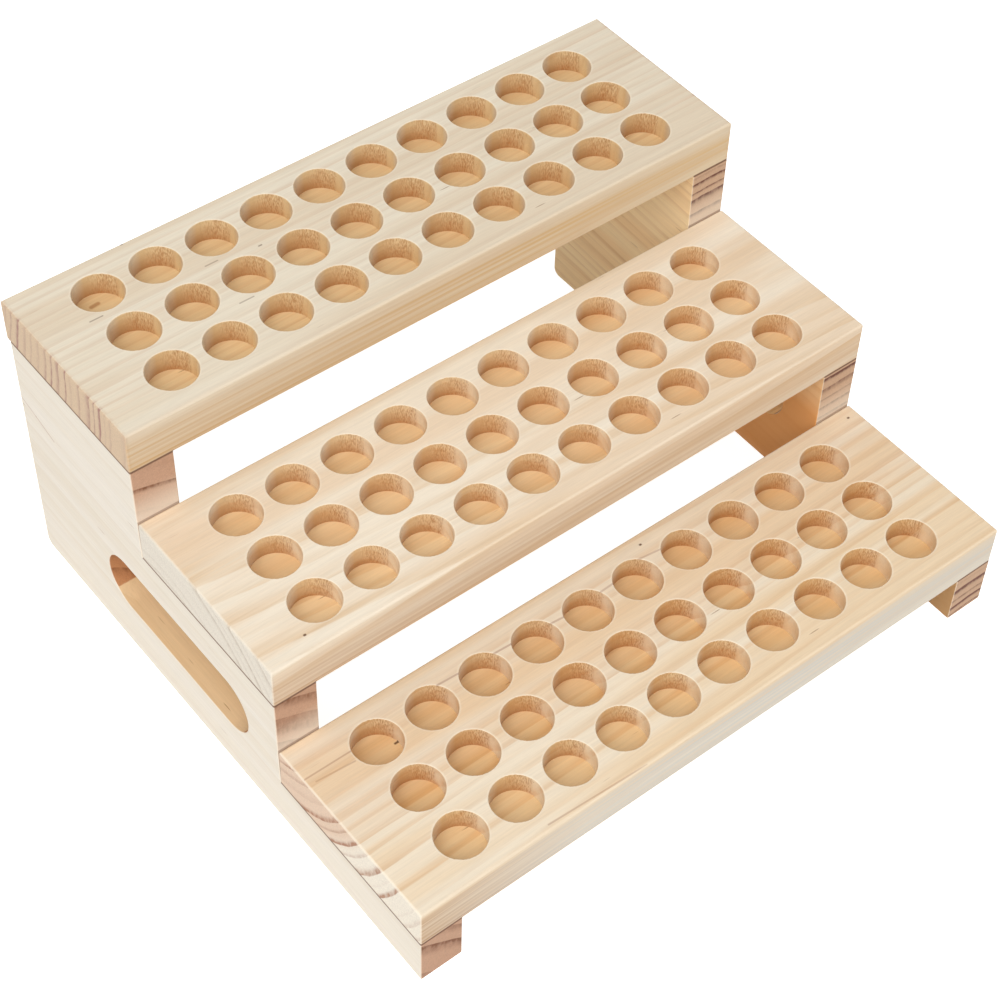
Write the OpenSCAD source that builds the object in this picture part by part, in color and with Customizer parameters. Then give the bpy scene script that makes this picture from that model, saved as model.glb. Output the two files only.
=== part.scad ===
// Stepped bottle rack for model paints, in solid pine.
// Three shelf boards with blind bottle holes lie on the treads of two stepped side panels, and
// hidden dowels peg each board to both panels. A carrying slot goes through each panel.
// Units are millimetres. The origin is on the ground under the middle of the rack:
// +X runs along the shelves, +Y towards the back and +Z up.

/* [Bottle holes] */
// Diameter of a bottle hole
hole_d = 26; // [20:0.5:31]
// Depth of a bottle hole, which leaves the rest of the board as its floor
hole_depth = 13; // [8:0.5:18]
// Distance between the centres of neighbouring holes, along and across a shelf
hole_pitch = 32.5; // [31:0.5:42]
// Holes along a shelf
hole_columns = 10; // [6:1:14]
// Rows of holes on a shelf
hole_rows = 3; // [3:1:5]

/* [Shelf boards] */
// Thickness of a shelf board
shelf_t = 25; // [22:0.5:32]
// From the end hole's centre to the end of the board
end_margin = 40.5; // [38:0.5:60]
// From the outer row's centres to the long edge of the board
edge_margin = 23.25; // [18:0.25:35]
// Gap between a board's back edge and the front of the step behind it
step_gap = 0.5; // [0.2:0.1:3]

/* [Side panels] */
// Thickness of a side panel
panel_t = 24; // [16:0.5:26]
// Height of the lowest tread above the ground
foot_h = 31.5; // [22:0.5:50]
// Height from one tread to the next
step_rise = 60.5; // [45:0.5:80]
// How far the panel's back edge stays in front of the upper shelf's
back_inset = 3; // [0:0.5:10]
// Radius of the rounded corner at the bottom of the panel's back edge
heel_r = 5; // [2:0.5:20]

/* [Carrying slot] */
// Length of the slot over its round ends
slot_l = 124; // [80:1:130]
// Height of the slot
slot_h = 35; // [20:0.5:40]
// From the front of the middle step back to the slot's front end
slot_setback = 25.5; // [15:0.5:40]
// Wood between the slot and the middle tread above it
slot_cover = 25; // [21:0.5:30]

/* [Dowels] */
// Diameter of a dowel
dowel_d = 8; // [6:0.5:10]
// Length of a dowel, half of it in the panel and half in the shelf
dowel_l = 30; // [20:1:36]
// From a dowel's centre to the long edge of its shelf
dowel_margin = 25; // [15:0.5:35]
// Width of the chamfer around each end of a dowel
dowel_chamfer = 1; // [0.5:0.1:1.5]
// Glue flutes around a dowel
flute_count = 12; // [6:1:16]
// Radius of a flute, whose centre line lies on the dowel's surface
flute_r = 0.4; // [0.2:0.1:0.6]
// Space between a dowel and the wall of its hole
dowel_fit = 0.05; // [0.02:0.01:0.2]
// Glue space beyond each end of a dowel
dowel_end_gap = 1; // [0.5:0.1:2]

/* [Hidden] */
TIERS = ["lower", "middle", "upper"];
SIDES = ["left", "right"];
ROWS = ["front", "back"];
last_tier = len(TIERS) - 1;
slot_tier = 1; // the carrying slot lies under this tier's tread
cut = 1; // how far each cutting tool runs past the face that it opens
deeper = 0.01; // how far a shelf's first hole goes below the floors of the others
round_fn = 96;
fine_fn = 32;

shelf_l = (hole_columns - 1) * hole_pitch + 2 * end_margin;
shelf_w = (hole_rows - 1) * hole_pitch + 2 * edge_margin;
step_run = shelf_w + step_gap;
rack_w = last_tier * step_run + shelf_w;
panel_back = rack_w / 2 - back_inset;

function tread_z(tier) = foot_h + tier * step_rise;
function shelf_front(tier) = -rack_w / 2 + tier * step_run;
function shelf_mid(tier) = shelf_front(tier) + shelf_w / 2;
// sign of X on a side, and of Y in a row of dowels
function away(index) = index == 0 ? -1 : 1;
function dowel_x(side) = away(side) * (shelf_l - panel_t) / 2;
function dowel_y(tier, row) = shelf_mid(tier) + away(row) * (shelf_w / 2 - dowel_margin);
function dowel_name(tier, side, row) = str(TIERS[tier], "_", SIDES[side], "_", ROWS[row], "_dowel");

// ---- shelf boards ----

module bottle_holes(tier) {
    top = tread_z(tier) + shelf_t;
    for (column = [0 : hole_columns - 1], row = [0 : hole_rows - 1]) {
        depth = hole_depth + (column + row == 0 ? deeper : 0);
        translate([(column - (hole_columns - 1) / 2) * hole_pitch,
                   shelf_mid(tier) + (row - (hole_rows - 1) / 2) * hole_pitch,
                   top - depth])
            cylinder(d = hole_d, h = depth + cut, $fn = round_fn);
    }
}

module shelf(tier) {
    color([0.87, 0.74, 0.56]) difference() {
        translate([-shelf_l / 2, shelf_front(tier), tread_z(tier)])
            cube([shelf_l, shelf_w, shelf_t]);
        bottle_holes(tier);
        dowel_holes(tier);
    }
}

// ---- side panels ----

// Outline of a panel seen from its side, front edge first, with Y to the right and Z up.
module panel_outline() {
    difference() {
        for (tier = [0 : last_tier])
            translate([shelf_front(tier), 0])
                square([panel_back - shelf_front(tier), tread_z(tier)]);
        heel_cut();
        slot_outline();
    }
}

module heel_cut() {
    translate([panel_back - heel_r, heel_r]) difference() {
        translate([0, -heel_r - cut]) square(heel_r + cut);
        circle(r = heel_r, $fn = round_fn);
    }
}

module slot_outline() {
    slot_r = slot_h / 2;
    translate([shelf_front(slot_tier) + slot_setback + slot_r,
               tread_z(slot_tier) - slot_cover - slot_r]) {
        for (end = [0, slot_l - slot_h])
            translate([end, 0]) circle(r = slot_r, $fn = round_fn);
        translate([0, -slot_r]) square([slot_l - slot_h, slot_h]);
    }
}

module side_panel(side) {
    color([0.84, 0.70, 0.54]) difference() {
        translate([dowel_x(side) - panel_t / 2, 0, 0])
            rotate([90, 0, 90]) linear_extrude(panel_t) panel_outline();
        for (tier = [0 : last_tier])
            dowel_holes(tier);
    }
}

// ---- dowels ----

// The four holes at one shelf, each through the joint between the board and a tread.
module dowel_holes(tier) {
    half_depth = dowel_l / 2 + dowel_end_gap;
    for (side = [0, 1], row = [0, 1])
        translate([dowel_x(side), dowel_y(tier, row), tread_z(tier) - half_depth])
            cylinder(d = dowel_d + 2 * dowel_fit, h = 2 * half_depth, $fn = round_fn);
}

module dowel(tier, side, row) {
    color([0.80, 0.64, 0.44])
        translate([dowel_x(side), dowel_y(tier, row), tread_z(tier)]) difference() {
            dowel_blank();
            for (flute = [0 : flute_count - 1])
                rotate(flute * 360 / flute_count)
                    translate([dowel_d / 2, 0, -dowel_l / 2 - cut])
                        cylinder(r = flute_r, h = dowel_l + 2 * cut, $fn = fine_fn);
        }
}

module dowel_blank() {
    shank_l = dowel_l - 2 * dowel_chamfer;
    tip_d = dowel_d - 2 * dowel_chamfer;
    translate([0, 0, -shank_l / 2]) cylinder(d = dowel_d, h = shank_l, $fn = round_fn);
    for (end = [0, 1])
        mirror([0, 0, end]) translate([0, 0, shank_l / 2])
            cylinder(d1 = dowel_d, d2 = tip_d, h = dowel_chamfer, $fn = round_fn);
}

// ---- assembly ----

for (tier = [0 : last_tier])
    shelf(tier);
for (side = [0, 1])
    side_panel(side);
for (tier = [0 : last_tier], side = [0, 1], row = [0, 1])
    dowel(tier, side, row);
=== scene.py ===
# Stepped rack for model paint bottles, in unfinished pine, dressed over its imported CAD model.
# Everything is in metres, apart from the wood's patterns, which are worked out in millimetres.

import math
from functools import partial

import bpy
from mathutils import Matrix, Vector


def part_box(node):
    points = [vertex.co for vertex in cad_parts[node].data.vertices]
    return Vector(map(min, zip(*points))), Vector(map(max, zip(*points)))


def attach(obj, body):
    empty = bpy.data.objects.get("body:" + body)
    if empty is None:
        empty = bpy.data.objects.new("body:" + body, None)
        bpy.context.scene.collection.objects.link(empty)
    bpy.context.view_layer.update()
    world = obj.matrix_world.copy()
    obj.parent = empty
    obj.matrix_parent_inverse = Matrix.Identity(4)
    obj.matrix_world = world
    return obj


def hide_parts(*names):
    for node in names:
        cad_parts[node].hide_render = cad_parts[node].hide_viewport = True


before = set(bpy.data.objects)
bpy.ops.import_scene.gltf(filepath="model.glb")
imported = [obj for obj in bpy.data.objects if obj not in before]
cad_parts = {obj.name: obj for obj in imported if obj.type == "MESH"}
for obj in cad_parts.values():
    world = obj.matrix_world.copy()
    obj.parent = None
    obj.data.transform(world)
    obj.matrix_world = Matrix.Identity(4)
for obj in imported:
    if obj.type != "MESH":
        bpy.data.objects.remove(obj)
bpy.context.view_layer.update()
mm = 0.001
print("frame loaded:", len(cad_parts), "nodes")


def linear(hexColour):
    # sRGB hex to the linear values that Blender's sockets hold
    channels = [int(hexColour[i:i + 2], 16) / 255 for i in (1, 3, 5)]
    return (*[c / 12.92 if c <= 0.04045 else ((c + 0.055) / 1.055) ** 2.4 for c in channels], 1.0)


def inUse(sockets, key):
    # a socket by its name or its place, among those that the node's settings leave enabled
    enabled = [s for s in sockets if s.enabled]
    return enabled[key] if isinstance(key, int) else next(s for s in enabled if s.name == key)


def addNode(tree, kind, inputs=(), **settings):
    # One node with its settings. A kind in capitals is what a Math node works out. Inputs go by name or in
    # the sockets' order, and each takes a value, a socket, another node's first output, or a list of those.
    if kind.isupper():
        kind, settings["operation"] = "ShaderNodeMath", kind
    made = tree.nodes.new(kind)
    for name, value in settings.items():
        setattr(made, name, value)
    for key, values in inputs.items() if isinstance(inputs, dict) else enumerate(inputs):
        for value in values if isinstance(values, list) else [values]:
            if isinstance(value, bpy.types.Node):
                value = inUse(value.outputs, 0)
            if isinstance(value, bpy.types.NodeSocket):
                tree.links.new(value, inUse(made.inputs, key))
            else:
                inUse(made.inputs, key).default_value = value
    return made


def newTree(name, kind, takes, gives):
    # a node tree with named inputs and outputs, what adds nodes to it, and the sockets of its inputs
    tree = bpy.data.node_groups.new(name, kind)
    for side, sockets in (("INPUT", takes), ("OUTPUT", gives)):
        for socketName, socketKind in sockets.items():
            tree.interface.new_socket(socketName, in_out=side, socket_type="NodeSocket" + socketKind)
    add = partial(addNode, tree)
    return tree, add, add("NodeGroupInput").outputs


def emptyTree(owner):
    # what adds nodes to a material's or a world's own tree, once its first nodes are gone
    owner.use_nodes = True
    owner.node_tree.nodes.clear()
    return partial(addNode, owner.node_tree)


def grainPattern(add, place, size, detail=2.0, roughness=0.5):
    # soft mottling, its size in mm along and across the grain
    place = add("ShaderNodeVectorMath", [place, size], operation="DIVIDE")
    return add("ShaderNodeTexNoise", {"Vector": place, "Scale": 1.0, "Detail": detail,
                                      "Roughness": roughness})


cameraView = {
    "place": (-0.5009, -0.59095, 0.95308),
    "heading": -41.571,  # degrees from +Y, seen from above
    "down": 48.197,      # degrees below the horizon
    "roll": 3.393,
    "lens": 82.223,      # mm, on a 36 mm sensor
    "shift": (-0.0506, -0.0384),
}


def makeCamera(view):
    data = bpy.data.cameras.new("rackCamera")
    data.lens, data.sensor_width = view["lens"], 36
    data.shift_x, data.shift_y = view["shift"]
    data.clip_start = 0.05
    camera = bpy.data.objects.new("rackCamera", data)
    bpy.context.scene.collection.objects.link(camera)
    camera.matrix_world = Matrix.Translation(view["place"])
    for angle, axis in ((view["heading"], "Z"), (90 - view["down"], "X"), (view["roll"], "Z")):
        camera.matrix_world = camera.matrix_world @ Matrix.Rotation(math.radians(angle), 4, axis)
    bpy.context.scene.camera = camera


makeCamera(cameraView)
print("camera set")


# Unfinished radiata pine, planed and lightly sanded: matt and pale, with tan latewood lines. End grain drinks
# the light and looks pinker and darker than the long grain.
pineLook = {
    "canal": "#8a6038",     # resin canals, short thin dashes along the grain
    "knot": "#5d3a20",      # pin knots
    "heart": "#dda67c",     # heartwood, near the pith
    "seamDustAndShade": "#6b4128",      # dust and painted shadow in the joints, and painted shade in the gap in front of each riser
    "scorched": "#a4652f",  # brown where the drill rubs a hole's wall, and painted shade at the foot of the walls
    "streak": "#9c6248",    # thin lines of pitch
    "resin": "#e49c58",     # warm painted shade between the lower shelves, on the right panel's inner face
    "dull": "#ba8e5e",      # painted shade at the foot of the right panel's inner face
    "sandedAndLitArris": "#fbeed8",     # sanded arrises and mouths, paler still with painted highlight
    "warp": 7.0,            # mm that the rings wander over a board's length
    "ripple": 1.1,          # mm
    "fibreShade": 0.08,     # how much the fibres lighten and darken the wood
    "rubbedAndShaded": 0.7,          # how dark the foot of a wall is, from the drill's rubbing and painted shade
    "darkestAt": (0.26, 0.97),  # which way from a hole's middle the foot is darkest
    "torn": (0.55, 0.6),    # how brown the torn fibres are, and how pale the torn fibres with their painted highlights are
    "bristleHighlight": "#f7dcae",   # the pale ones, with painted highlights
    "mouth": 0.4,           # how pale the sanded rim of a hole is, with its painted highlight
    "joint": 0.85,          # how dark the dust and painted shade in the joints are
    "relief": 0.12,         # mm that fibres and rings stand up
}


def makePineTree(look):
    # Rings are tubes around a pith line that runs near the board, and every face cuts the same solid pattern.
    # Place is in mm from the board's middle, with X along the grain.
    tree, add, given = newTree(
        "pineGrain", "ShaderNodeTree",
        {"Place": "Vector", "Facing Grain": "Float", "Pith": "Vector", "Tilt": "Vector",
         "Ring Width": "Float", "Long Rings": "Float", "End Rings": "Float", "Heart": "Float",
         "Long Heart": "Float", "End Heart": "Float", "Bands": "Float",
         "Early": "Color", "Late": "Color", "Tan": "Color", "End Pale": "Color", "End Dark": "Color"},
        {"Colour": "Color", "Height": "Float", "Roughness": "Float"})

    mottle = partial(grainPattern, add, given["Place"])

    # the rings wander in long lazy waves and in a small ripple
    wandered = given["Place"]
    for size, detail, reach in (((230, 60, 60), 1.0, look["warp"]), ((45, 7, 7), 2.0, look["ripple"])):
        swing = mottle(size, detail).outputs["Color"]
        swing = add("ShaderNodeVectorMath", [swing, (0.5, 0.5, 0.5)], operation="SUBTRACT")
        swing = add("ShaderNodeVectorMath", {0: swing, "Scale": reach}, operation="SCALE")
        wandered = add("ShaderNodeVectorMath", [wandered, swing], operation="ADD")
    along = add("ShaderNodeSeparateXYZ", [wandered])
    lean = add("ShaderNodeVectorMath", {0: given["Tilt"], "Scale": along}, operation="SCALE")
    pith = add("ShaderNodeVectorMath", [given["Pith"], lean], operation="ADD")
    fromPith = add("ShaderNodeVectorMath", [wandered, pith], operation="SUBTRACT")
    fromPith = add("ShaderNodeVectorMath", [fromPith, (0, 1, 1)], operation="MULTIPLY")
    radius = add("ShaderNodeVectorMath", [fromPith], operation="LENGTH")

    # good and lean years make wide and narrow rings
    era = add("DIVIDE", [radius, 17.0])
    era = add("ShaderNodeTexNoise", {"W": era, "Scale": 1.0, "Detail": 1.0}, noise_dimensions="1D")
    age = add("DIVIDE", [radius, given["Ring Width"]])
    age = add("MULTIPLY_ADD", [era, 1.5, age])
    season = add("FRACT", [age])
    # latewood darkens slowly through the year and ends at a sharp line
    darkening = add("ShaderNodeMapRange", {"Value": season, "From Min": 0.3, "From Max": 0.93},
                    interpolation_type="SMOOTHERSTEP")
    ending = add("ShaderNodeMapRange", {"Value": season, "From Min": 0.93, "From Max": 1.0, "To Min": 1.0,
                                        "To Max": 0.0}, interpolation_type="SMOOTHSTEP")
    year = add("FLOOR", [age])
    strength = add("ShaderNodeTexWhiteNoise", {"W": year}, noise_dimensions="1D")
    strength = add("ShaderNodeMapRange", {"Value": strength, "To Min": 0.3, "To Max": 1.0})
    ring = add("MULTIPLY", [darkening, ending])
    ring = add("MULTIPLY", [ring, strength])

    fibres = mottle((26, 1.2, 1.2), 4.0, 0.7)
    streaks = mottle((150, 5.5, 5.5), 3.0, 0.6)
    bands = mottle((300, 15, 15), 1.0)

    # long grain: broad bands of cream and tan under soft lines that come and go
    banding = add("ShaderNodeMapRange", {"Value": bands, "From Min": 0.38, "From Max": 0.66},
                  interpolation_type="SMOOTHSTEP")
    banding = add("MULTIPLY", [banding, given["Bands"]])
    longGrain = add("ShaderNodeMix", [banding, given["Early"], given["Tan"]], data_type="RGBA")
    showing = add("ShaderNodeMapRange", {"Value": streaks, "From Min": 0.35, "From Max": 0.65, "To Min": 0.35,
                                         "To Max": 1.35})
    lines = add("MULTIPLY", [ring, given["Long Rings"]])
    lines = add("MULTIPLY", [lines, showing], use_clamp=True)
    longGrain = add("ShaderNodeMix", [lines, longGrain, given["Late"]], data_type="RGBA")
    # resin canals are thin dashes, some 5 mm long
    place = add("ShaderNodeVectorMath", [given["Place"], (34.0, 3.0, 3.0)], operation="DIVIDE")
    cells = add("ShaderNodeTexVoronoi", {"Vector": place, "Scale": 1.0})
    dash = add("ShaderNodeMapRange", {"Value": cells, "From Min": 0.07, "From Max": 0.12, "To Min": 1.0,
                                      "To Max": 0.0})
    few = add("ShaderNodeSeparateColor", [cells.outputs["Color"]])
    few = add("ShaderNodeMapRange", {"Value": few, "From Min": 0.72, "From Max": 0.97, "To Max": 0.75})
    broken = add("ShaderNodeMapRange", {"Value": fibres, "From Min": 0.4, "From Max": 0.55})
    few = add("MULTIPLY", [few, broken])
    dash = add("MULTIPLY", [dash, few])
    longGrain = add("ShaderNodeMix", [dash, longGrain, linear(look["canal"])], data_type="RGBA")

    # end grain: crisp ring lines roughened by the saw's upright strokes, and open pores
    crisp = add("POWER", [ring, 2.2])
    patchy = mottle((9, 2.5, 5))
    patchy = add("ShaderNodeMapRange", {"Value": patchy, "From Min": 0.35, "From Max": 0.65, "To Min": 0.6,
                                        "To Max": 1.25})
    crisp = add("MULTIPLY", [crisp, patchy])
    crisp = add("MULTIPLY", [crisp, given["End Rings"]], use_clamp=True)
    endGrain = add("ShaderNodeMix", [crisp, given["End Pale"], given["End Dark"]], data_type="RGBA")
    pores = mottle((0.7, 0.7, 0.7), 2.0, 0.7)
    pores = add("ShaderNodeMapRange", {"Value": pores, "From Min": 0.3, "From Max": 0.7, "To Min": 0.90,
                                       "To Max": 1.06})
    endGrain = add("ShaderNodeVectorMath", {0: endGrain, "Scale": pores}, operation="SCALE")

    # the change from one to the other is ragged, fibre by fibre
    ragged = add("MULTIPLY_ADD", [fibres, 0.5, given["Facing Grain"]])
    ends = add("ShaderNodeMapRange", {"Value": ragged, "From Min": 0.62, "From Max": 1.0},
               interpolation_type="SMOOTHSTEP")
    wood = add("ShaderNodeMix", [ends, longGrain, endGrain], data_type="RGBA")

    # warmer heartwood near the pith, and the fibres' own light and dark
    heart = add("SUBTRACT", [radius, given["Heart"]])
    heart = add("ShaderNodeMapRange", {"Value": heart, "From Min": -7.0, "From Max": 6.0, "To Min": 1.0,
                                       "To Max": 0.0}, interpolation_type="SMOOTHSTEP")
    share = add("ShaderNodeMapRange", {"Value": ends, "To Min": given["Long Heart"],
                                       "To Max": given["End Heart"]})
    heart = add("MULTIPLY", [heart, share])
    warm = add("ShaderNodeMix", [heart, wood, linear(look["heart"])], data_type="RGBA", blend_type="MULTIPLY")
    shade = add("ShaderNodeMapRange", {"Value": fibres, "From Min": 0.25, "From Max": 0.75,
                                       "To Min": 1 - look["fibreShade"],
                                       "To Max": 1 + 0.7 * look["fibreShade"]})
    wood = add("ShaderNodeVectorMath", {0: warm, "Scale": shade}, operation="SCALE")

    # fibres stand up a little, latewood stays proud, canals are grooves
    height = add("MULTIPLY", [fibres, 0.5])
    height = add("MULTIPLY_ADD", [ring, 0.35, height])
    height = add("MULTIPLY_ADD", [dash, -0.6, height])
    rough = add("ShaderNodeMapRange", {"Value": fibres, "From Min": 0.2, "From Max": 0.8, "To Min": 0.58,
                                       "To Max": 0.78})
    add("NodeGroupOutput", {"Colour": wood, "Height": height, "Roughness": rough})
    return tree


pineTree = makePineTree(pineLook)


def makePine(name, board, look):
    # A board's own pine. Its dictionary says where the pith runs, how the rings show and what is cut.
    # A Map Range node is given a value, from where to where it counts, and what comes out at those two.
    material = bpy.data.materials.new(name)
    add = emptyTree(material)
    spot = add("ShaderNodeTexCoord")
    place = add("ShaderNodeVectorMath", [spot.outputs["Object"], board["middle"]], operation="SUBTRACT")
    place = add("ShaderNodeVectorMath", {0: place, "Scale": 1 / mm}, operation="SCALE")
    normal = add("ShaderNodeSeparateXYZ", [spot.outputs["Normal"]])
    facing = add("ABSOLUTE", [normal.outputs[board["grain"]]])
    if board["grain"] == "Y":
        place = add("ShaderNodeMapping", {"Vector": place, "Rotation": (0, 0, -math.pi / 2)})

    endRings, longRings, endHeart = board["End Rings"], board["Long Rings"], board["End Heart"]
    sawn = add("ShaderNodeAttribute", attribute_name="sawn").outputs["Fac"]
    cheek = add("ABSOLUTE", [normal.outputs["X"]])
    if "stairs" in board:
        # the slot's wall, and not the faces around it, turns to end grain all at once
        sawn = add("MULTIPLY", [sawn, add("ShaderNodeMapRange", [cheek, 0.2, 0.7, 1.0, 0.0])])
        turned = add("SUBTRACT", [add("ShaderNodeMapRange", [facing, 0.64, 0.72]), facing])
        facing = add("MULTIPLY_ADD", [sawn, turned, facing])
    planed = add("SUBTRACT", [1.0, sawn])
    if "holes" in board:
        # rings show more on the edges and near the ends, and end grain frays a little way onto the faces
        x, y, z = add("ShaderNodeSeparateXYZ", [place]).outputs
        toEnd = add("SUBTRACT", [board["half"], add("ABSOLUTE", [x])])
        facing = add("MAXIMUM", [facing, add("ShaderNodeMapRange", [toEnd, 0.0, board["Fray"], 0.62, 0.0])])
        facing = add("MULTIPLY", [facing, add("MULTIPLY_ADD", [sawn, -0.8, 1.0])])
        onEdge = add("MULTIPLY", [add("ABSOLUTE", [normal.outputs["Y"]]), planed])
        longRings = add("MULTIPLY_ADD", [onEdge, board["Edge Rings"] - longRings, longRings])
        longRings = add("MULTIPLY", [longRings, add("ShaderNodeMapRange", [toEnd, 0.0, 60.0, 1.4, 1.0])])
        endRings = add("MULTIPLY_ADD", [sawn, -0.8 * endRings, endRings])
        endHeart = add("MULTIPLY_ADD", [sawn, -endHeart, endHeart])
    wood = add("ShaderNodeGroup", {"Facing Grain": facing, "Place": place, "Long Rings": longRings,
                                   "End Rings": endRings, "End Heart": endHeart}, node_tree=pineTree)
    for key in ("Pith", "Tilt", "Ring Width", "Heart", "Long Heart", "Bands"):
        wood.inputs[key].default_value = board[key]
    for key in ("Early", "Late", "Tan", "End Pale", "End Dark"):
        wood.inputs[key].default_value = linear(board[key])
    colour, height, roughness = wood.outputs

    if "holes" in board:
        # the long edges, streaked along the grain
        edge = board["edge"]
        streaks = grainPattern(add, place, (260, 30, 2.2))
        streaks = add("ShaderNodeMapRange", [streaks, 0.35, 0.65, 0.5, 1.2])
        streaks = add("MULTIPLY", [add("ShaderNodeMapRange", [z, *edge["Up"]]), streaks])
        share = add("MULTIPLY", [add("MULTIPLY", [onEdge, edge["Share"]]), streaks])
        shade = add("ShaderNodeMapRange", [x, *edge["Along"]])
        shade = add("ShaderNodeMix", [shade, linear(edge["Left"]), linear(edge["Right"])], data_type="RGBA")
        colour = add("ShaderNodeMix", [share, colour, shade], data_type="RGBA")
        # where a spot lies in its hole, counted in radii; a drill meets the fibres from their back in two
        # opposite quarters of the wall and tears them there, and cuts the other two clean and pale
        pitch, radius, depth = (board["holes"][key] / mm for key in ("Pitch", "Hole Radius", "Hole Depth"))
        top = board["top"]
        fromX = add("DIVIDE", [add("WRAP", [add("SUBTRACT", [x, pitch / 2]), pitch / 2, -pitch / 2]), radius])
        fromY = add("DIVIDE", [add("WRAP", [y, pitch / 2, -pitch / 2]), radius])
        fromMiddle = add("ShaderNodeVectorMath", [add("ShaderNodeCombineXYZ", [fromX, fromY])],
                         operation="LENGTH")
        wall = add("MULTIPLY", [sawn, add("LESS_THAN", [add("ABSOLUTE", [normal.outputs["Z"]]), 0.5])])
        quarter = add("MULTIPLY", [fromX, fromY])
        paler = add("MULTIPLY_ADD", [add("POWER", [cheek, 6.0]), -board["Pale Walls"], 1.0])
        clean = add("ShaderNodeMapRange", [add("MULTIPLY", [quarter, wall]), -0.45, -0.05, 0.1, 1.0])
        tint = add("MULTIPLY", [sawn, add("MULTIPLY", [paler, clean])])
    else:
        tint = sawn
    colour = add("ShaderNodeMix", [tint, colour, (*board["Cut"], 1.0)], data_type="RGBA",
                 blend_type="MULTIPLY")
    # arrises and the mouths of the holes, where the normal leans between two axes, are sanded paler and carry
    # painted highlight
    lean = [add("POWER", [add("ABSOLUTE", [normal.outputs[axis]]), 4.0]) for axis in "XYZ"]
    lean = add("SUBTRACT", [1.0, add("ADD", [add("ADD", [lean[0], lean[1]]), lean[2]])])
    edgeSandedAndLit = add("MULTIPLY", [add("ShaderNodeMapRange", [cheek, 0.1, 0.3, *board["Arris"]]), planed])
    edgeSandedAndLit = add("MULTIPLY", [add("ShaderNodeMapRange", [lean, 0.1, 0.42]), edgeSandedAndLit])
    if "holes" in board:
        # the pale rim around each mouth is sanded wood with painted highlight
        mouth = add("ShaderNodeMapRange", [fromMiddle, 1.04, 1.1, look["mouth"], 0.0])
        mouth = add("MULTIPLY", [mouth, planed])
        mouth = add("MULTIPLY", [mouth, add("LESS_THAN", [add("ABSOLUTE", [y]), 1.5 * pitch])])
        mouth = add("MULTIPLY", [mouth, add("GREATER_THAN", [toEnd, 0.75 * pitch])])
        colour = add("ShaderNodeMix", [mouth, colour, linear(look["sandedAndLitArris"])], data_type="RGBA")
    colour = add("ShaderNodeMix", [edgeSandedAndLit, colour, linear(look["sandedAndLitArris"])], data_type="RGBA")

    if "holes" in board:
        # the drill rubs the long grain brown low down, and painted shade darkens the foot of the wall towards
        # the floor
        acrossX, acrossY = look["darkestAt"]
        toLong = add("MULTIPLY_ADD", [fromX, acrossX, add("MULTIPLY", [fromY, acrossY])])
        toLong = add("ShaderNodeMapRange", [add("ABSOLUTE", [toLong]), 0.3, 0.95])
        rubbedAndShaded = add("ShaderNodeMapRange", [z, top - 0.2 * depth, top - depth, 0.0, look["rubbedAndShaded"]])
        rubbedAndShaded = add("MULTIPLY", [add("MULTIPLY", [wall, toLong]), rubbedAndShaded])
        colour = add("ShaderNodeMix", [rubbedAndShaded, colour, linear(look["scorched"])], data_type="RGBA")
        # torn fibres are brown specks and pale bristles with painted highlights, most of them near the mouth
        slantX = add("ShaderNodeMapRange", [add("ABSOLUTE", [fromX]), 0.0, 0.7])
        slantY = add("ShaderNodeMapRange", [add("ABSOLUTE", [fromY]), 0.26, 0.34])
        torn = add("MULTIPLY", [wall, add("GREATER_THAN", [quarter, 0.0])])
        torn = add("MULTIPLY", [torn, add("MULTIPLY", [slantY, slantX])])
        bristles = grainPattern(add, place, (0.4, 0.4, 2.2))
        brown, pale = look["torn"]
        specks = add("MULTIPLY", [torn, add("ShaderNodeMapRange", [bristles, 0.48, 0.62, 0.12, brown])])
        colour = add("ShaderNodeMix", [specks, colour, linear(look["scorched"])], data_type="RGBA")
        shown = add("ShaderNodeMapRange", [z, top - 0.2 * depth, top - 0.8 * depth, pale, 0.1])
        shown = add("MULTIPLY", [add("ShaderNodeMapRange", [bristles, 0.5, 0.36]), shown])
        shown = add("MULTIPLY", [shown, torn])
        colour = add("ShaderNodeMix", [shown, colour, linear(look["bristleHighlight"])], data_type="RGBA")
        height = add("MULTIPLY_ADD", [add("MULTIPLY", [bristles, torn]), -3.0, height])

    # pin knots, pitch lines and patches of painted shade on long grain: from where to where, how wide, how
    # strong, which colour
    onLong = add("LESS_THAN", [facing, 0.5])
    if "stairs" in board:
        # only on the cheek that faces -X
        onLong = add("MULTIPLY", [onLong, add("LESS_THAN", [normal.outputs["X"], -0.3])])
    for start, end, width, strength, shade in board["marks"]:
        run = Vector(end) - Vector(start)
        aside = add("ShaderNodeVectorMath", [place, start], operation="SUBTRACT")
        along = add("ShaderNodeVectorMath", [aside, tuple(run / run.length_squared)], operation="DOT_PRODUCT")
        along = add("ShaderNodeClamp", [along])
        nearest = add("ShaderNodeVectorMath", {0: tuple(run), "Scale": along}, operation="SCALE")
        aside = add("ShaderNodeVectorMath", [aside, nearest], operation="SUBTRACT")
        aside = add("ShaderNodeVectorMath", [aside], operation="LENGTH")
        shown = add("ShaderNodeMapRange", [aside, 0.3 * width, 0.7 * width, strength, 0.0])
        shown = add("MULTIPLY", [shown, onLong])
        colour = add("ShaderNodeMix", [shown, colour, linear(look[shade])], data_type="RGBA")
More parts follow.
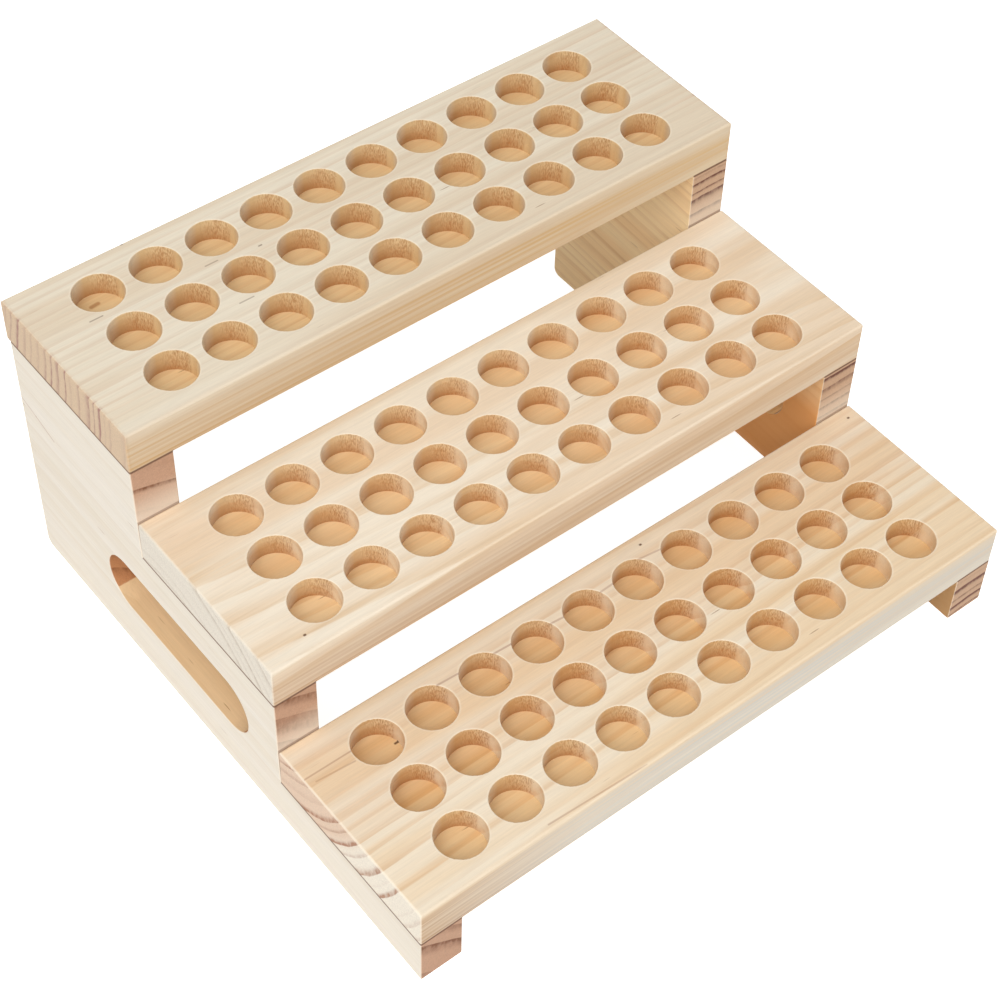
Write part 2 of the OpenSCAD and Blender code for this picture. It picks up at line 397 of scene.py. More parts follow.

    # painted shade, with some dust, in the joints between boards and treads, and painted shade in the gap in
    # front of each riser
    if "holes" in board:
        seated = add("GREATER_THAN", [add("ABSOLUTE", [x]), board["half"] - board["seat"]])
        seamDustAndShade = add("ShaderNodeMapRange", [z, 0.95 - board["top"], 0.5 - board["top"]])
        seamDustAndShade = add("MULTIPLY", [seamDustAndShade, seated])
    else:
        stairs = board["stairs"]
        high, back = (add("ShaderNodeSeparateXYZ", [spot.outputs["Object"]]).outputs[a] for a in "ZY")
        level = add("ROUND", [add("DIVIDE", [add("SUBTRACT", [high, stairs["Foot"]]), stairs["Rise"]])])
        above = add("SUBTRACT", [high, add("MULTIPLY_ADD", [level, stairs["Rise"], stairs["Foot"]])])
        under = add("MULTIPLY_ADD", [level, -stairs["Run"], back])
        riser = stairs["Front"] + stairs["Run"]
        seamDustAndShade = add("ShaderNodeMapRange", [above, -0.9 * mm, -0.4 * mm])
        seamDustAndShade = add("MULTIPLY", [seamDustAndShade, add("LESS_THAN", [under, riser - 0.5 * mm])])
        # the gap in front of each riser is darkened with painted shade
        nook = add("LESS_THAN", [normal.outputs["Y"], -0.5])
        nook = add("MULTIPLY", [add("COMPARE", [under, riser, 0.6 * mm]), nook])
        boardTop = stairs["Board"]
        hidden = add("ShaderNodeMapRange", [above, boardTop + 0.4 * mm, boardTop + 0.1 * mm, 0.0, 0.5])
        nook = add("MULTIPLY", [nook, hidden])
        seamDustAndShade = add("MAXIMUM", [seamDustAndShade, add("MULTIPLY", [nook, add("GREATER_THAN", [above, 0.1 * mm])])])
    seamDustAndShade = add("MULTIPLY", [seamDustAndShade, look["joint"]])
    colour = add("ShaderNodeMix", [seamDustAndShade, colour, linear(look["seamDustAndShade"])], data_type="RGBA")

    bump = add("ShaderNodeBump", {"Strength": 0.6, "Distance": look["relief"] * mm, "Height": height})
    pine = add("ShaderNodeBsdfPrincipled", {"Base Color": colour, "Roughness": roughness, "Normal": bump,
                                            "IOR": 1.5, "Specular IOR Level": 0.25})
    add("ShaderNodeOutputMaterial", [pine])
    return material


print("pine ready")


def makeBoardTree():
    # A drilled board. The hole floors lie at Z = 0 until the board goes to its place.
    tree, add, given = newTree(
        "bottleBoard", "GeometryNodeTree",
        {"Length": "Float", "Width": "Float", "Thickness": "Float", "Columns": "Int", "Rows": "Int",
         "Pitch": "Float", "Hole Diameter": "Float", "Hole Depth": "Float", "Facets": "Int", "Rings": "Int",
         "Arris": "Float", "Corners": "Float", "Mouths": "Float", "Underside": "Float",
         "Place": "Vector", "Material": "Material"},
        {"Board": "Geometry"})

    # the mouths on their grid, inside the board's outline
    spans = []
    for count in ("Columns", "Rows"):
        gaps = add("SUBTRACT", [given[count], 1.0])
        spans.append(add("MULTIPLY", [gaps, given["Pitch"]]))
    grid = add("GeometryNodeMeshGrid", {"Size X": spans[0], "Size Y": spans[1],
                                        "Vertices X": given["Columns"], "Vertices Y": given["Rows"]})
    radius = add("DIVIDE", [given["Hole Diameter"], 2.0])
    mouth = add("GeometryNodeCurvePrimitiveCircle", {"Resolution": given["Facets"], "Radius": radius})
    mouths = add("GeometryNodeInstanceOnPoints", {"Points": grid, "Instance": mouth})
    mouths = add("GeometryNodeRealizeInstances", [mouths])
    outline = add("GeometryNodeCurvePrimitiveQuadrilateral", {"Width": given["Length"],
                                                              "Height": given["Width"]})
    pierced = add("GeometryNodeJoinGeometry", {0: [outline, mouths]})
    pierced = add("GeometryNodeFillCurve", [pierced], mode="NGONS")

    # the pierced face rises ring by ring from the floors to the top, and leaves the walls behind
    ringHeight = add("DIVIDE", [given["Hole Depth"], given["Rings"]])
    lift = add("ShaderNodeCombineXYZ", {"Z": ringHeight})
    faceUp = add("ShaderNodeSeparateXYZ", [add("GeometryNodeInputNormal")])
    faceUp = add("GREATER_THAN", [faceUp.outputs["Z"], 0.5])
    finished = add("GeometryNodeRepeatOutput")
    started = add("GeometryNodeRepeatInput")
    started.pair_with_output(finished)
    tree.links.new(given["Rings"], started.inputs["Iterations"])
    tree.links.new(pierced.outputs[0], started.inputs["Geometry"])
    raised = add("GeometryNodeExtrudeMesh", {"Mesh": started.outputs["Geometry"], "Selection": faceUp,
                                             "Offset": lift, "Individual": False})
    tree.links.new(raised.outputs["Mesh"], finished.inputs["Geometry"])

    # floors of the holes, and the solid wood under them
    floors = add("GeometryNodeFillCurve", [mouths], mode="NGONS")
    below = add("SUBTRACT", [given["Hole Depth"], given["Thickness"]])
    drop = add("ShaderNodeCombineXYZ", {"Z": below})
    under = add("GeometryNodeFillCurve", [outline], mode="NGONS")
    under = add("GeometryNodeFlipFaces", [under])
    under = add("GeometryNodeExtrudeMesh", {"Mesh": under, "Offset": drop, "Individual": False})
    board = add("GeometryNodeJoinGeometry", {0: [finished, floors, under.outputs["Mesh"]]})
    board = add("GeometryNodeMergeByDistance", {"Geometry": board, "Distance": 0.01 * mm})

    # how far each kind of edge is eased, as a share of the bevel's width
    spot = add("ShaderNodeSeparateXYZ", [add("GeometryNodeInputPosition")])
    outside = []
    for axis, size in (("X", "Length"), ("Y", "Width")):
        half = add("MULTIPLY", [given[size], 0.499])
        far = add("ABSOLUTE", [spot.outputs[axis]])
        outside.append(add("GREATER_THAN", [far, half]))
    outside = add("MAXIMUM", outside)
    onTop = add("GREATER_THAN", [spot.outputs["Z"], add("MULTIPLY", [given["Hole Depth"], 0.999])])
    onBase = add("LESS_THAN", [spot.outputs["Z"], add("MULTIPLY", [below, 0.999])])
    topEase = add("GeometryNodeSwitch", [outside, given["Mouths"], given["Arris"]], input_type="FLOAT")
    sideEase = add("GeometryNodeSwitch", [outside, 0.0, given["Corners"]], input_type="FLOAT")
    ease = add("GeometryNodeSwitch", [onTop, sideEase, topEase], input_type="FLOAT")
    ease = add("GeometryNodeSwitch", [onBase, ease, given["Underside"]], input_type="FLOAT")
    fold = add("GeometryNodeInputMeshEdgeAngle")
    corner = add("GREATER_THAN", [fold, 0.5])
    board = add("GeometryNodeStoreNamedAttribute", {"Geometry": board, "Selection": corner,
                                                    "Name": "bevel_weight_edge", "Value": ease},
                data_type="FLOAT", domain="EDGE")
    # everything is shaded smooth, apart from the crisp corner around each floor
    uneased = add("LESS_THAN", [ease, 0.001])
    crisp = add("MULTIPLY", [uneased, corner])
    board = add("GeometryNodeSetShadeSmooth", {"Geometry": board, "Shade Smooth": True}, domain="FACE")
    board = add("GeometryNodeSetShadeSmooth", {"Geometry": board, "Selection": crisp, "Shade Smooth": False},
                domain="EDGE")
    board = add("GeometryNodeSetPosition", {"Geometry": board, "Offset": given["Place"]})
    board = add("GeometryNodeRealizeInstances", [board])
    board = add("GeometryNodeSetMaterial", {"Geometry": board, "Material": given["Material"]})
    add("NodeGroupOutput", [board])
    return tree


def makePanelTree():
    # A stepped panel, drawn flat with X towards the back and Y upwards, then stood up on its edge.
    tree, add, given = newTree(
        "steppedPanel", "GeometryNodeTree",
        {"Steps": "Int", "Run": "Float", "Rise": "Float", "Foot": "Float", "Front": "Float", "Back": "Float",
         "Heel Radius": "Float", "Slot Length": "Float", "Slot Height": "Float", "Slot Middle": "Vector",
         "Thickness": "Float", "Slot Ease": "Float", "Edge Ease": "Float", "Place": "Vector",
         "Material": "Material"},
        {"Panel": "Geometry"})
    # two points to each step, one at the ground in front and one at the ground behind
    points = add("MULTIPLY_ADD", [given["Steps"], 2.0, 2.0])
    last = add("SUBTRACT", [points, 1.0])
    line = add("GeometryNodeMeshLine", {"Count": points})
    line = add("GeometryNodeMeshToCurve", [line])
    index = add("GeometryNodeInputIndex")
    tread = add("FLOOR", [add("DIVIDE", [index, 2.0])])
    forward = add("MULTIPLY_ADD", [tread, given["Run"], given["Front"]])
    forward = add("MINIMUM", [forward, given["Back"]])
    riser = add("FLOOR", [add("DIVIDE", [add("SUBTRACT", [index, 1.0]), 2.0])])
    upward = add("MULTIPLY_ADD", [riser, given["Rise"], given["Foot"]])
    inner = add("LESS_THAN", [index, last])
    raised = add("MULTIPLY", [index, inner])
    raised = add("GREATER_THAN", [raised, 0.5])
    upward = add("MULTIPLY", [upward, raised])
    stairs = add("ShaderNodeCombineXYZ", {"X": forward, "Y": upward})
    outline = add("GeometryNodeSetPosition", {"Geometry": line, "Position": stairs})
    outline = add("GeometryNodeSetSplineCyclic", {"Geometry": outline, "Cyclic": True})
    atHeel = add("COMPARE", [index, last, 0.5])
    heel = add("MULTIPLY", [atHeel, given["Heel Radius"]])
    outline = add("GeometryNodeFilletCurve", {"Curve": outline, "Count": 12, "Radius": heel}, mode="POLY")

    # the carrying slot has full round ends
    slotRadius = add("DIVIDE", [given["Slot Height"], 2.0])
    slot = add("GeometryNodeCurvePrimitiveQuadrilateral", {"Width": given["Slot Length"],
                                                           "Height": given["Slot Height"]})
    slot = add("GeometryNodeFilletCurve", {"Curve": slot, "Count": 32, "Radius": slotRadius,
                                           "Limit Radius": True}, mode="POLY")
    slot = add("GeometryNodeResampleCurve", {"Curve": slot, "Count": 200})
    slot = add("GeometryNodeSetPosition", {"Geometry": slot, "Offset": given["Slot Middle"]})

    # both cheeks and the edges between them
    cheek = add("GeometryNodeJoinGeometry", {0: [outline, slot]})
    cheek = add("GeometryNodeFillCurve", [cheek], mode="NGONS")
    across = add("ShaderNodeCombineXYZ", {"Z": given["Thickness"]})
    farCheek = add("GeometryNodeExtrudeMesh", {"Mesh": cheek, "Offset": across, "Individual": False})
    nearCheek = add("GeometryNodeFlipFaces", [cheek])
    panel = add("GeometryNodeJoinGeometry", {0: [farCheek, nearCheek]})
    panel = add("GeometryNodeMergeByDistance", {"Geometry": panel, "Distance": 0.01 * mm})

    # the slot's edges are eased more than the rest
    fromSlot = add("ShaderNodeVectorMath", [add("GeometryNodeInputPosition"), given["Slot Middle"]],
                   operation="SUBTRACT")
    fromSlot = add("ShaderNodeSeparateXYZ", [fromSlot])
    inside = []
    for axis, size in (("X", "Slot Length"), ("Y", "Slot Height")):
        half = add("MULTIPLY", [given[size], 0.501])
        far = add("ABSOLUTE", [fromSlot.outputs[axis]])
        inside.append(add("LESS_THAN", [far, half]))
    inside = add("MULTIPLY", inside)
    ease = add("GeometryNodeSwitch", [inside, given["Edge Ease"], given["Slot Ease"]], input_type="FLOAT")
    fold = add("GeometryNodeInputMeshEdgeAngle").outputs["Signed Angle"]
    corner = add("GREATER_THAN", [fold, 0.5])
    nook = add("LESS_THAN", [fold, -0.5])
    panel = add("GeometryNodeStoreNamedAttribute", {"Geometry": panel, "Selection": corner,
                                                    "Name": "bevel_weight_edge", "Value": ease},
                data_type="FLOAT", domain="EDGE")
    panel = add("GeometryNodeStoreNamedAttribute", {"Geometry": panel, "Name": "sawn", "Value": inside},
                data_type="FLOAT", domain="POINT")
    panel = add("GeometryNodeSetShadeSmooth", {"Geometry": panel, "Shade Smooth": True}, domain="FACE")
    panel = add("GeometryNodeSetShadeSmooth", {"Geometry": panel, "Selection": nook, "Shade Smooth": False},
                domain="EDGE")
    panel = add("GeometryNodeTransform", {"Geometry": panel, "Translation": given["Place"],
                                          "Rotation": (math.pi / 2, 0.0, math.pi / 2)})
    panel = add("GeometryNodeRealizeInstances", [panel])
    panel = add("GeometryNodeSetMaterial", {"Geometry": panel, "Material": given["Material"]})
    add("NodeGroupOutput", [panel])
    return tree


def makeTearTree():
    # Where a drill meets the grain at a slant it lifts fibres, in short grooves down from each hole's mouth.
    tree, add, given = newTree(
        "tornMouths", "GeometryNodeTree",
        {"Board": "Geometry", "Columns": "Int", "Rows": "Int", "Pitch": "Float", "Row Middle": "Float",
         "Hole Radius": "Float", "Hole Depth": "Float", "Top": "Float", "Groove Width": "Float",
         "Groove Length": "Float", "Groove Depth": "Float", "Seed": "Float", "Material": "Material"},
        {"Board": "Geometry"})
    # from the middle of the nearest hole: an even number of columns, an odd number of rows
    spot = add("ShaderNodeSeparateXYZ", [add("GeometryNodeInputPosition")])
    halfPitch = add("MULTIPLY", [given["Pitch"], 0.5])
    backHalf = add("MULTIPLY", [given["Pitch"], -0.5])
    alongX = add("SUBTRACT", [spot.outputs["X"], halfPitch])
    alongY = add("SUBTRACT", [spot.outputs["Y"], given["Row Middle"]])
    fromX = add("WRAP", [alongX, halfPitch, backHalf])
    fromY = add("WRAP", [alongY, halfPitch, backHalf])
    outward = add("ShaderNodeCombineXYZ", {"X": fromX, "Y": fromY})
    radius = add("ShaderNodeVectorMath", [outward], operation="LENGTH")
    outward = add("ShaderNodeVectorMath", [outward], operation="NORMALIZE")
    turn = add("ARCTAN2", [fromY, fromX])
    depth = add("SUBTRACT", [given["Top"], spot.outputs["Z"]])

    # each hole gets grooves of its own
    column = add("DIVIDE", [add("SUBTRACT", [alongX, fromX]), given["Pitch"]])
    row = add("DIVIDE", [add("SUBTRACT", [alongY, fromY]), given["Pitch"]])
    which = add("MULTIPLY_ADD", [column, 5.3, given["Seed"]])
    which = add("MULTIPLY_ADD", [row, 17.1, which])
    around = add("DIVIDE", [add("MULTIPLY", [turn, given["Hole Radius"]]), given["Groove Width"]])
    down = add("DIVIDE", [depth, given["Groove Length"]])
    grain = add("ShaderNodeCombineXYZ", {"X": around, "Y": down, "Z": which})
    grooves = add("ShaderNodeTexNoise", {"Vector": grain, "Scale": 1.0, "Detail": 1.0})
    grooves = add("ShaderNodeMapRange", {"Value": grooves, "From Min": 0.48, "From Max": 0.62},
                  interpolation_type="SMOOTHSTEP")
    reach = add("ShaderNodeCombineXYZ", {"X": around, "Y": which})
    reach = add("ShaderNodeTexNoise", {"Vector": reach, "Scale": 0.45, "Detail": 1.0})
    reach = add("ShaderNodeMapRange", {"Value": reach, "From Min": 0.3, "From Max": 0.7, "To Min": 0.3,
                                       "To Max": 1.0})
    gone = add("DIVIDE", [down, reach])
    gone = add("ShaderNodeMapRange", {"Value": gone, "From Min": 0.5, "From Max": 1.0, "To Min": 1.0,
                                      "To Max": 0.0}, interpolation_type="SMOOTHSTEP")
    # the two slant stretches of the wall
    slant = add("SINE", [add("MULTIPLY_ADD", [turn, 2.0, -0.52])])
    slant = add("ShaderNodeMapRange", {"Value": slant, "From Min": 0.25, "From Max": 0.8},
                interpolation_type="SMOOTHSTEP")
    torn = add("MULTIPLY", [grooves, gone])
    torn = add("MULTIPLY", [torn, slant])
    # only the wall and the eased mouth
    nearWall = add("COMPARE", [radius, given["Hole Radius"], 0.6 * mm])
    offTop = add("GREATER_THAN", [depth, 0.1 * mm])
    deepest = add("ADD", [given["Hole Depth"], 0.1 * mm])
    above = add("LESS_THAN", [depth, deepest])
    onWall = add("MULTIPLY", [nearWall, above])
    for count, away in (("Columns", spot.outputs["X"]), ("Rows", alongY)):
        reach = add("MULTIPLY", [given[count], halfPitch])
        away = add("ABSOLUTE", [away])
        inside = add("LESS_THAN", [away, reach])
        onWall = add("MULTIPLY", [onWall, inside])
    torn = add("MULTIPLY", [torn, onWall])
    sawn = add("MULTIPLY", [onWall, offTop])
    board = add("GeometryNodeStoreNamedAttribute", {"Geometry": given["Board"], "Name": "sawn",
                                                    "Value": sawn}, data_type="FLOAT", domain="POINT")
    shift = add("MULTIPLY", [torn, given["Groove Depth"]])
    shift = add("ShaderNodeVectorMath", {0: outward, "Scale": shift}, operation="SCALE")
    board = add("GeometryNodeSetPosition", {"Geometry": board, "Offset": shift})
    board = add("GeometryNodeRealizeInstances", [board])
    board = add("GeometryNodeSetMaterial", {"Geometry": board, "Material": given["Material"]})
    add("NodeGroupOutput", [board])
    return tree


def addShape(piece, tree, sizes):
    # one Geometry Nodes modifier, its inputs set by their sockets' identifiers
    shape = piece.modifiers.new(tree.name, "NODES")
    shape.node_group = tree
    for item in tree.interface.items_tree:
        if item.in_out == "INPUT" and item.name in sizes:
            shape[item.identifier] = sizes[item.name]


def makePiece(node, shapes, easeWidth):
    # Runs the trees with the easing of the edges between them, and keeps the result as a plain mesh.
    piece = bpy.data.objects.new(node + "_wood", bpy.data.meshes.new(node + "_wood"))
    bpy.context.scene.collection.objects.link(piece)
    addShape(piece, *shapes[0])
    easing = piece.modifiers.new("easedEdges", "BEVEL")
    easing.width, easing.segments, easing.limit_method = easeWidth, 3, "WEIGHT"
    easing.use_clamp_overlap = False
    easing.loop_slide = False  # corners that slide along the cheeks' long edges would fold them
    for tree, sizes in shapes[1:]:
        addShape(piece, tree, sizes)
    piece.modifiers.new("evenShading", "WEIGHTED_NORMAL").keep_sharp = True
    depsgraph = bpy.context.evaluated_depsgraph_get()
    mesh = bpy.data.meshes.new_from_object(piece.evaluated_get(depsgraph), preserve_all_data_layers=True,
                                           depsgraph=depsgraph)
    piece.modifiers.clear()
    piece.data = mesh
    mesh.name = piece.name
    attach(piece, "root")
    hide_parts(node)
    print(node, "made:", len(mesh.polygons), "faces")
    return piece


boardTree, panelTree, tearTree = makeBoardTree(), makePanelTree(), makeTearTree()


# the three drilled shelf boards
shelfSizes = {
    "Columns": 10, "Rows": 3, "Pitch": 32.5 * mm, "Hole Diameter": 26.0 * mm, "Hole Depth": 13.0 * mm,
    "Facets": 144, "Rings": 5,
    # the bevel's width, and shares of it
    "Ease Width": 1.4 * mm, "Arris": 1.0, "Corners": 0.6, "Mouths": 0.45, "Underside": 0.3,
}
tearSizes = {
    **shelfSizes, "Hole Radius": 13.0 * mm,
    "Groove Width": 0.9 * mm, "Groove Length": 6.0 * mm, "Groove Depth": 0.2 * mm,
}
# Pith and Tilt are in mm across the grain, from the board's middle, and set the rings' spacing and slant.
# Arris says how pale the sanded arrises are, with their painted highlight.
shelfWood = {
    "lower": {"Pith": (0, 85, 68), "Tilt": (0, 0.04, -0.03), "Ring Width": 7.0, "Long Rings": 0.38,
              "End Rings": 1.2, "Edge Rings": 0.35, "Heart": 106.0, "Long Heart": 0.1, "End Heart": 0.45,
              "Bands": 0.55, "Early": "#f5e6ce", "Late": "#daaa72", "Tan": "#eecda0", "End Pale": "#f2e8d7",
              "End Dark": "#b48a70", "Pale Walls": 0.8, "Cut": (0.92, 0.78, 0.56), "Fray": 2.5,
              "Arris": (0.2, 0.6), "edge": {"Left": "#bf9874", "Right": "#dad5cb", "Share": 0.8,
                                            "Along": (-185.0, -90.0), "Up": (11.0, 8.0)},
              "marks": (((-135.0, 33.7, -0.2), (-133.0, 33.7, -0.2), 1.3, 0.9, "knot"),
                        ((179.2, 48.6, 12.5), (179.6, 48.6, 12.5), 1.2, 0.9, "knot"),
                        ((31.7, 49.0, 12.5), (32.1, 49.0, 12.5), 1.2, 0.9, "knot"),
                        ((-186.0, 35.6, 12.5), (-158.0, 35.6, 12.5), 0.9, 0.4, "streak"),
                        ((-182.0, 31.5, 12.5), (-161.0, 29.8, 12.5), 0.9, 0.3, "streak"),
                        ((-104.0, 41.4, 12.5), (-59.0, 39.2, 12.5), 1.1, 0.45, "streak"),
                        ((-59.0, 39.2, 12.5), (-28.0, 36.5, 12.5), 1.1, 0.4, "streak"),
                        ((-28.0, 36.5, 12.5), (8.0, 38.2, 12.5), 1.1, 0.35, "streak"),
                        ((20.0, 42.8, 12.5), (40.0, 40.3, 12.5), 1.1, 0.35, "streak"),
                        ((-111.0, -52.9, 12.5), (-53.0, -55.4, 12.5), 0.9, 0.35, "streak")), "seed": 3.0},
    "middle": {"Pith": (0, 25, -75), "Tilt": (0, -0.05, 0.02), "Ring Width": 7.0, "Long Rings": 0.4,
               "End Rings": 0.5, "Edge Rings": 0.4, "Heart": 0.0, "Long Heart": 0.0, "End Heart": 0.0,
               "Bands": 0.5, "Early": "#f8ebd6", "Late": "#ddb684", "Tan": "#eac9a3", "End Pale": "#e8dfd0",
               "End Dark": "#b3a08a", "Pale Walls": 0.6, "Cut": (0.93, 0.78, 0.56), "Fray": 4.5,
               "Arris": (0.2, 0.25), "edge": {"Left": "#cca57f", "Right": "#dab993", "Share": 0.7,
                                              "Along": (-150.0, 100.0), "Up": (9.0, -1.0)},
               "marks": (((-161.9, -46.4, 12.5), (-161.5, -46.4, 12.5), 1.2, 0.9, "knot"),), "seed": 11.0},
    "upper": {"Pith": (0, 190, 42), "Tilt": (0, 0.015, 0.02), "Ring Width": 6.0, "Long Rings": 0.3,
              "End Rings": 1.6, "Edge Rings": 0.3, "Heart": 0.0, "Long Heart": 0.0, "End Heart": 0.0,
              "Bands": 0.5, "Early": "#eee2cc", "Late": "#d1aa88", "Tan": "#e1cbad", "End Pale": "#d8bea0",
              "End Dark": "#ac8478", "Pale Walls": 0.0, "Cut": (0.96, 0.80, 0.56), "Fray": 6.0,
              "Arris": (0.12, 0.0), "edge": {"Left": "#d0a671", "Right": "#dfbc88", "Share": 0.75,
                                             "Along": (-150.0, 150.0), "Up": (9.0, 3.0, 0.3, 1.0)},
              "marks": (((-119.6, 54.8, 12.2), (-119.2, 54.8, 12.2), 1.3, 0.8, "knot"),
                        ((-148.5, 37.8, -0.5), (-144.5, 38.2, -0.5), 2.2, 0.6, "scorched"),
                        ((-160.0, 17.5, 12.5), (-153.0, 17.5, 12.5), 0.8, 0.5, "knot"),
                        ((-66.0, 13.6, 12.5), (-64.5, 13.6, 12.5), 0.9, 0.6, "knot"),
                        ((-95.0, 17.1, 12.5), (-88.0, 17.1, 12.5), 0.8, 0.4, "knot"),
                        ((-96.0, -14.4, 12.5), (-88.0, -14.4, 12.5), 0.8, 0.4, "knot")), "seed": 23.0},
}

for tier, wood in shelfWood.items():
    low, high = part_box(tier + "_shelf")
    middle = (low + high) / 2
    size = high - low
    # in mm: half the length, half the thickness, and how far an end lies on its tread
    cuts = {"half": size.x / 2 / mm, "top": size.z / 2 / mm, "seat": 24.2, "holes": tearSizes}
    material = makePine(tier + "ShelfPine", {**wood, **cuts, "middle": middle, "grain": "X"}, pineLook)
    floorHeight = high.z - shelfSizes["Hole Depth"]
    board = {**shelfSizes, "Length": size.x, "Width": size.y, "Thickness": size.z,
             "Place": (middle.x, middle.y, floorHeight), "Material": material}
    tear = {**tearSizes, "Row Middle": middle.y, "Top": high.z, "Seed": wood["seed"], "Material": material}
    makePiece(tier + "_shelf", [(boardTree, board), (tearTree, tear)],
              shelfSizes["Ease Width"])


# the two stepped side panels
panelSizes = {
    "Steps": 3, "Run": 112.0 * mm, "Rise": 60.5 * mm, "Foot": 31.5 * mm,
    "Front": -167.75 * mm, "Back": 164.75 * mm, "Heel Radius": 5.0 * mm,
    "Slot Length": 124.0 * mm, "Slot Height": 35.0 * mm, "Slot Middle": (31.75 * mm, 49.5 * mm, 0.0),
    "Board": 25.0 * mm,  # the shelf that lies on each tread
    # the bevel's width, and shares of it
    "Ease Width": 1.0 * mm, "Edge Ease": 0.7, "Slot Ease": 0.6,
}
# Arris says how pale the sanded arrises are, with their painted highlight.
panelWood = {
    "left": {"Pith": (0, 55, -129), "Tilt": (0, 0.0, 0.02), "Ring Width": 15.0, "Long Rings": 0.25,
             "End Rings": 1.2, "Heart": 0.0, "Long Heart": 0.0, "End Heart": 0.0, "Bands": 0.3,
             "Early": "#efe6d8", "Late": "#dcc8ab", "Tan": "#e8dcc6", "End Pale": "#caa084",
             "End Dark": "#86593f", "Cut": (0.94, 0.73, 0.49), "Arris": (0.5, 0.5),
             "marks": (((170.0, 12.0, 38.6), (152.0, 12.0, 34.2), 0.9, 0.35, "streak"),
                       ((152.0, 12.0, 34.2), (136.0, 12.0, 29.6), 0.8, 0.45, "streak"))},
    "right": {"Pith": (0, 0, -160), "Tilt": (0, 0.02, 0.08), "Ring Width": 7.0, "Long Rings": 0.4,
              "End Rings": 2.0, "Heart": 0.0, "Long Heart": 0.0, "End Heart": 0.0, "Bands": 0.6,
              "Early": "#fbddae", "Late": "#c69265", "Tan": "#f0c692", "End Pale": "#d0ab8c",
              "End Dark": "#74493a", "Cut": (0.97, 0.83, 0.64), "Arris": (0.4, 0.4),
              # painted shade on the inner cheek: warm between the middle and lower shelves, and darker at the
              # foot
              "marks": (((-50.0, 12.0, -44.0), (10.0, 12.0, -44.0), 90.0, 0.9, "resin"),
                        ((-170.0, 12.0, -76.0), (-125.0, 12.0, -76.0), 90.0, 0.95, "dull"))},
}

for side, wood in panelWood.items():
    low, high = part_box(side + "_side_panel")
    material = makePine(side + "PanelPine", {**wood, "middle": (low + high) / 2, "grain": "Y",
                                             "stairs": panelSizes}, pineLook)
    panel = {**panelSizes, "Thickness": high.x - low.x, "Place": (low.x, 0.0, 0.0), "Material": material}
    makePiece(side + "_side_panel", [(panelTree, panel)],
              panelSizes["Ease Width"])


# Ready-made fluted dowels in steamed beech: pinkish tan, with short dark rays along the grain.
dowelLook = {"pale": "#d9b48b", "dark": "#b98a5f", "ray": "#8f6340"}


def makeBeech(look):
    material = bpy.data.materials.new("steamedBeech")
    add = emptyTree(material)
    spot = add("ShaderNodeTexCoord")
    # 0.5 mm fibres, and rays 2 mm long and 0.3 mm wide, along Z
    stretched = add("ShaderNodeMapping", {"Vector": spot.outputs["Object"], "Scale": (2000, 2000, 120)})
    fibres = add("ShaderNodeTexNoise", {"Vector": stretched, "Scale": 1.0, "Detail": 3.0})
    colour = add("ShaderNodeMix", [fibres, linear(look["pale"]), linear(look["dark"])], data_type="RGBA")
    rays = add("ShaderNodeMapping", {"Vector": spot.outputs["Object"], "Scale": (1400, 1400, 300)})
    rays = add("ShaderNodeTexVoronoi", {"Vector": rays, "Scale": 1.0})
    rays = add("ShaderNodeMapRange", {"Value": rays, "From Min": 0.12, "From Max": 0.3, "To Min": 0.6,
                                      "To Max": 0.0})
    colour = add("ShaderNodeMix", [rays, colour, linear(look["ray"])], data_type="RGBA")
    rough = add("ShaderNodeMapRange", {"Value": fibres, "To Min": 0.5, "To Max": 0.7})
    bump = add("ShaderNodeBump", {"Strength": 0.5, "Distance": 0.05 * mm, "Height": fibres})
    beech = add("ShaderNodeBsdfPrincipled", {"Base Color": colour, "Roughness": rough, "Normal": bump,
                                             "IOR": 1.5, "Specular IOR Level": 0.3})
    add("ShaderNodeOutputMaterial", [beech])
    return material


beech = makeBeech(dowelLook)
for node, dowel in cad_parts.items():
    if node.endswith("_dowel"):
        dowel.material_slots[0].material = beech
print("dowels finished")


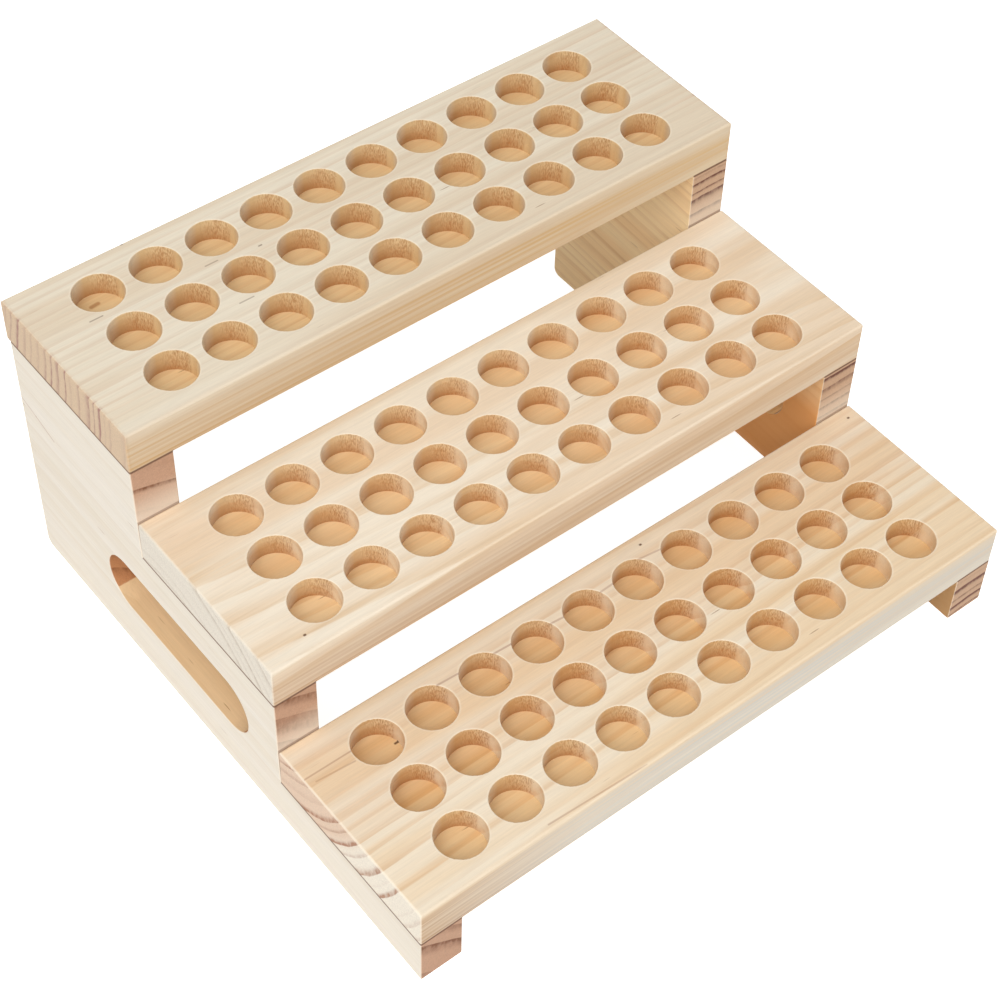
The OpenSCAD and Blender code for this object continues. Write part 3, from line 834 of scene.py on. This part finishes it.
# A white sweep under a white sky. The camera sees both as white, and they light the wood at half strength.
studio = {
    "floorColour": "#f3f3f3", "floorSize": 6.0, "floorGlow": 0.75,
    "skyLight": 0.5,
    "keyFrom": (-0.5, -0.42, 0.76), "keyDistance": 4.0, "keySize": 3.4, "keyPower": 112.0,
}


def makeSeen(add):
    # 1 for what the camera sees, straight or in a reflection or through glass
    path = add("ShaderNodeLightPath").outputs
    seen = add("MAXIMUM", [path["Is Camera Ray"], path["Is Glossy Ray"]])
    return add("MAXIMUM", [seen, path["Is Transmission Ray"]])


def makeStudio(look):
    half = look["floorSize"] / 2
    mesh = bpy.data.meshes.new("studioFloor")
    corners = [(-half, -half, 0), (half, -half, 0), (half, half, 0), (-half, half, 0)]
    mesh.from_pydata(corners, [], [(0, 1, 2, 3)])
    floor = bpy.data.objects.new("studioFloor", mesh)
    bpy.context.scene.collection.objects.link(floor)
    paper = bpy.data.materials.new("whitePaper")
    add = emptyTree(paper)
    matt = add("ShaderNodeBsdfDiffuse", {"Color": linear(look["floorColour"])})
    glow = add("MULTIPLY", [makeSeen(add), look["floorGlow"]])
    glow = add("ShaderNodeEmission", {"Strength": glow})
    both = add("ShaderNodeAddShader", [matt, glow])
    add("ShaderNodeOutputMaterial", [both])
    mesh.materials.append(paper)

    world = bpy.data.worlds.new("whiteSky")
    bpy.context.scene.world = world
    add = emptyTree(world)
    strength = add("ShaderNodeMapRange", {"Value": makeSeen(add), "To Min": look["skyLight"], "To Max": 1.0})
    sky = add("ShaderNodeBackground", {"Color": (1, 1, 1, 1), "Strength": strength})
    add("ShaderNodeOutputWorld", [sky])

    lamp = bpy.data.lights.new("softKey", "AREA")
    lamp.shape, lamp.size, lamp.energy = "SQUARE", look["keySize"], look["keyPower"]
    key = bpy.data.objects.new("softKey", lamp)
    bpy.context.scene.collection.objects.link(key)
    towards = Vector(look["keyFrom"]).normalized()
    key.location = towards * look["keyDistance"]
    key.rotation_euler = towards.to_track_quat("Z", "Y").to_euler()


makeStudio(studio)
bpy.context.scene.view_settings.view_transform = "Standard"
print("studio set")
